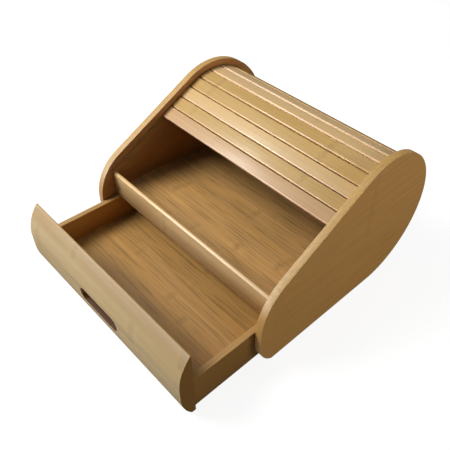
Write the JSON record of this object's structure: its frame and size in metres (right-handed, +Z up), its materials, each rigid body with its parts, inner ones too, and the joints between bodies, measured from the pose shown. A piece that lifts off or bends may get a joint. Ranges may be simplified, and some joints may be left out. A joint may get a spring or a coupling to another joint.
{
  "type": "roll top bread box",
  "caption": "Bamboo bread box with a slatted roll top over the upper compartment and a drawer with a finger slot below.",
  "frame": {"origin": "on the surface the box stands on, under the middle of the whole box as stored, with the drawer pulled out", "axes": "+X along the slats towards the right side board, -Y out of the front where the drawer opens, +Z up"},
  "size_m": [0.4, 0.4996, 0.2441],
  "materials": {
    "side_board": "clear satin lacquer over bamboo, grain front to back",
    "case_board": "clear satin lacquer over bamboo, grain side to side",
    "drawer_front": "clear satin lacquer over bamboo, grain side to side",
    "drawer_board": "clear satin lacquer over bamboo",
    "slat_tan": "clear satin lacquer over bamboo, tan",
    "slat_gold": "clear satin lacquer over bamboo, golden",
    "slat_pale": "clear satin lacquer over bamboo, pale",
    "dowel": "plain wood",
    "cloth": "plain cotton cloth glued behind the slats"
  },
  "bodies": {
    "case": {"side_panel_left": "side_board", "side_panel_right": "side_board", "base_panel": "case_board", "shelf": "case_board", "front_lip": "case_board", "back_board": "case_board", "dowels_base": "dowel", "dowels_shelf": "dowel", "dowels_lip": "dowel", "dowels_back": "dowel"},
    "drawer": {"drawer_front": "drawer_front", "drawer_side_left": "drawer_board", "drawer_side_right": "drawer_board", "drawer_back": "drawer_board", "drawer_bottom": "drawer_board", "dowels_drawer_front": "dowel", "dowels_drawer_back": "dowel"},
    "roll_tail": {"slat_09": "slat_pale", "slat_10": "slat_tan", "slat_11": "slat_gold", "slat_12": "slat_pale", "slat_13": "slat_tan", "slat_14": "slat_gold", "slat_15": "slat_pale", "cloth_tail": "cloth"},
    "roll_front": {"slat_01": "slat_tan", "slat_02": "slat_gold", "slat_03": "slat_pale", "cloth_front": "cloth"},
    "roll_slat_04": {"slat_04": "slat_tan", "cloth_04": "cloth"},
    "roll_slat_05": {"slat_05": "slat_gold", "cloth_05": "cloth"},
    "roll_slat_06": {"slat_06": "slat_pale", "cloth_06": "cloth"},
    "roll_slat_07": {"slat_07": "slat_tan", "cloth_07": "cloth"},
    "roll_slat_08": {"slat_08": "slat_gold", "cloth_08": "cloth"}
  },
  "joints": [
    {"name": "drawer_slide", "type": "slide", "parent": "case", "child": "drawer", "axis": [0, -1, 0], "range_m": [-0.134, 0.05]},
    {"name": "roll_top", "type": "hinge", "parent": "case", "child": "roll_tail", "pos_m": [0, 0.13352, 0.1341], "axis": [-1, 0, 0], "range_deg": [-75.88, 12.39]},
    {"name": "roll_front_slide", "type": "slide", "parent": "case", "child": "roll_front", "axis": [0, 0.878, 0.4787], "range_m": [-0.1226, 0.0201]},
    {"name": "slat_04_turn", "type": "hinge", "parent": "case", "child": "roll_slat_04", "pos_m": [0, 2.40268, -4.2114], "axis": [-1, 0, 0], "range_deg": [-1.46, 0.28]},
    {"name": "slat_05_turn", "type": "hinge", "parent": "case", "child": "roll_slat_05", "pos_m": [0, 0.25317, -0.19136], "axis": [-1, 0, 0], "range_deg": [-16.07, 2.67]},
    {"name": "slat_06_turn", "type": "hinge", "parent": "case", "child": "roll_slat_06", "pos_m": [0, 0.16403, -0.00075], "axis": [-1, 0, 0], "range_deg": [-30.69, 5.05]},
    {"name": "slat_07_turn", "type": "hinge", "parent": "case", "child": "roll_slat_07", "pos_m": [0, 0.13933, 0.07008], "axis": [-1, 0, 0], "range_deg": [-45.31, 7.44]},
    {"name": "slat_08_turn", "type": "hinge", "parent": "case", "child": "roll_slat_08", "pos_m": [0, 0.13224, 0.10821], "axis": [-1, 0, 0], "range_deg": [-59.93, 9.83]}
  ],
  "couplings": [
    {"joint": "roll_front_slide", "follows": "roll_top", "m_per_rad": 0.0925},
    {"joint": "slat_04_turn", "follows": "roll_top", "ratio": 0.018524},
    {"joint": "slat_05_turn", "follows": "roll_top", "ratio": 0.21118},
    {"joint": "slat_06_turn", "follows": "roll_top", "ratio": 0.40383},
    {"joint": "slat_07_turn", "follows": "roll_top", "ratio": 0.59648},
    {"joint": "slat_08_turn", "follows": "roll_top", "ratio": 0.78914}
  ]
}
